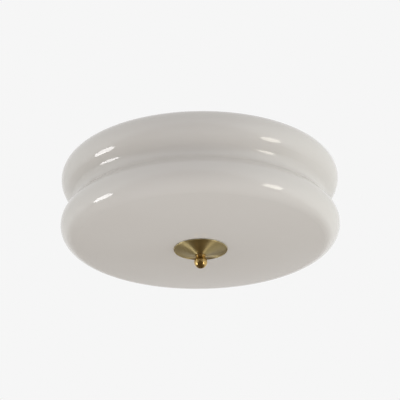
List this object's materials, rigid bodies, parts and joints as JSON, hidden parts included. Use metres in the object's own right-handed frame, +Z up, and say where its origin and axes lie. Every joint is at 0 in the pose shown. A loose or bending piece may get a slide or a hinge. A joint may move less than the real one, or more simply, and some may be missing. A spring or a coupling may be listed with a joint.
{
  "type": "flush mount ceiling light",
  "caption": "Round flush ceiling light: a two-tier white opal glass shade held up by a brass cap and ball finial on a centre rod, with lamps inside.",
  "frame": {"origin": "centre of the two strap slots, on the plane that touches the ceiling", "axes": "+Z up into the ceiling, the light hangs along -Z; +X along the first bulb's axis, away from its lampholder; +Y along the mounting strap"},
  "size_m": [0.35, 0.35, 0.1417],
  "materials": {
    "opal_glass": "blown opal glass, fire polished",
    "satin_brass": "spun, satin lacquered",
    "polished_brass": "turned and polished",
    "clear_silicone": "moulded, soft",
    "white_silicone": "moulded, soft",
    "white_enamel": "drawn steel, white powder coat",
    "zinc_steel": "bright zinc plate",
    "brass_fastener": "turned, bare",
    "white_nylon": "moulded",
    "white_thermoplastic": "moulded",
    "glazed_porcelain": "pressed and glazed",
    "contact_brass": "pressed strip",
    "solder": "tinned",
    "black_glass": "fused insulator",
    "nickel_brass": "rolled thread, nickel plate",
    "bulb_plastic": "moulded",
    "led_board": "white solder mask",
    "bulb_diffuser": "frosted",
    "black_rubber": "moulded",
    "lead_sleeve": "glass fibre sleeve"
  },
  "bodies": {
    "root": {"mounting_strap": "zinc_steel", "strap_nut": "zinc_steel", "centre_rod": "zinc_steel", "ceiling_pan": "white_enamel", "edge_gasket": "white_silicone", "pan_washer": "zinc_steel", "pan_nut": "zinc_steel", "bracket_rivets": "zinc_steel", "terminal_block": "white_nylon", "terminal_sleeves": "brass_fastener", "terminal_screws": "zinc_steel", "block_screw": "zinc_steel", "earth_screw": "brass_fastener", "earth_nut": "brass_fastener", "lead_grommets": "black_rubber", "lead_1": "lead_sleeve", "lead_2": "lead_sleeve", "lamp_bracket_1": "zinc_steel", "lamp_nipple_1": "zinc_steel", "nipple_nut_1": "zinc_steel", "lampholder_cup_1": "white_thermoplastic", "lampholder_core_1": "glazed_porcelain", "lampholder_barrel_1": "white_thermoplastic", "screw_shell_1": "contact_brass", "centre_contact_1": "contact_brass", "lamp_bracket_2": "zinc_steel", "lamp_nipple_2": "zinc_steel", "nipple_nut_2": "zinc_steel", "lampholder_cup_2": "white_thermoplastic", "lampholder_core_2": "glazed_porcelain", "lampholder_barrel_2": "white_thermoplastic", "screw_shell_2": "contact_brass", "centre_contact_2": "contact_brass"},
    "shade": {"opal_shade": "opal_glass", "shade_bushing": "white_silicone"},
    "cap": {"brass_cap": "satin_brass", "cap_gasket": "clear_silicone"},
    "finial": {"finial": "polished_brass"},
    "bulb_1_thread": {"bulb_tip_1": "solder"},
    "bulb_1": {"bulb_insulator_1": "black_glass", "bulb_screw_cap_1": "nickel_brass", "bulb_housing_1": "bulb_plastic", "led_board_1": "led_board", "bulb_diffuser_1": "bulb_diffuser"},
    "bulb_2_thread": {"bulb_tip_2": "solder"},
    "bulb_2": {"bulb_insulator_2": "black_glass", "bulb_screw_cap_2": "nickel_brass", "bulb_housing_2": "bulb_plastic", "led_board_2": "led_board", "bulb_diffuser_2": "bulb_diffuser"}
  },
  "joints": [
    {"name": "shade_lower", "type": "slide", "parent": "root", "child": "shade", "axis": [0, 0, -1], "range_m": [0, 0.13]},
    {"name": "cap_travel", "type": "slide", "parent": "shade", "child": "cap", "axis": [0, 0, -1], "range_m": [0, 0.00875]},
    {"name": "finial_turn", "type": "hinge", "parent": "cap", "child": "finial", "pos_m": [0, 0, -0.1243], "axis": [0, 0, -1], "range_deg": [0, 2521]},
    {"name": "bulb_1_travel", "type": "slide", "parent": "root", "child": "bulb_1_thread", "axis": [1, 0, 0], "range_m": [0, 0.0182]},
    {"name": "bulb_1_turn", "type": "hinge", "parent": "bulb_1_thread", "child": "bulb_1", "pos_m": [-0.035, 0.058, -0.061], "axis": [1, 0, 0], "range_deg": [0, 1800]},
    {"name": "bulb_2_travel", "type": "slide", "parent": "root", "child": "bulb_2_thread", "axis": [-1, 0, 0], "range_m": [0, 0.0182]},
    {"name": "bulb_2_turn", "type": "hinge", "parent": "bulb_2_thread", "child": "bulb_2", "pos_m": [0.035, -0.058, -0.061], "axis": [-1, 0, 0], "range_deg": [0, 1800]}
  ],
  "couplings": [
    {"joint": "finial_turn", "follows": "cap_travel", "rad_per_m": 5026.5},
    {"joint": "bulb_1_travel", "follows": "bulb_1_turn", "m_per_rad": 0.00057757},
    {"joint": "bulb_2_travel", "follows": "bulb_2_turn", "m_per_rad": 0.00057757}
  ]
}
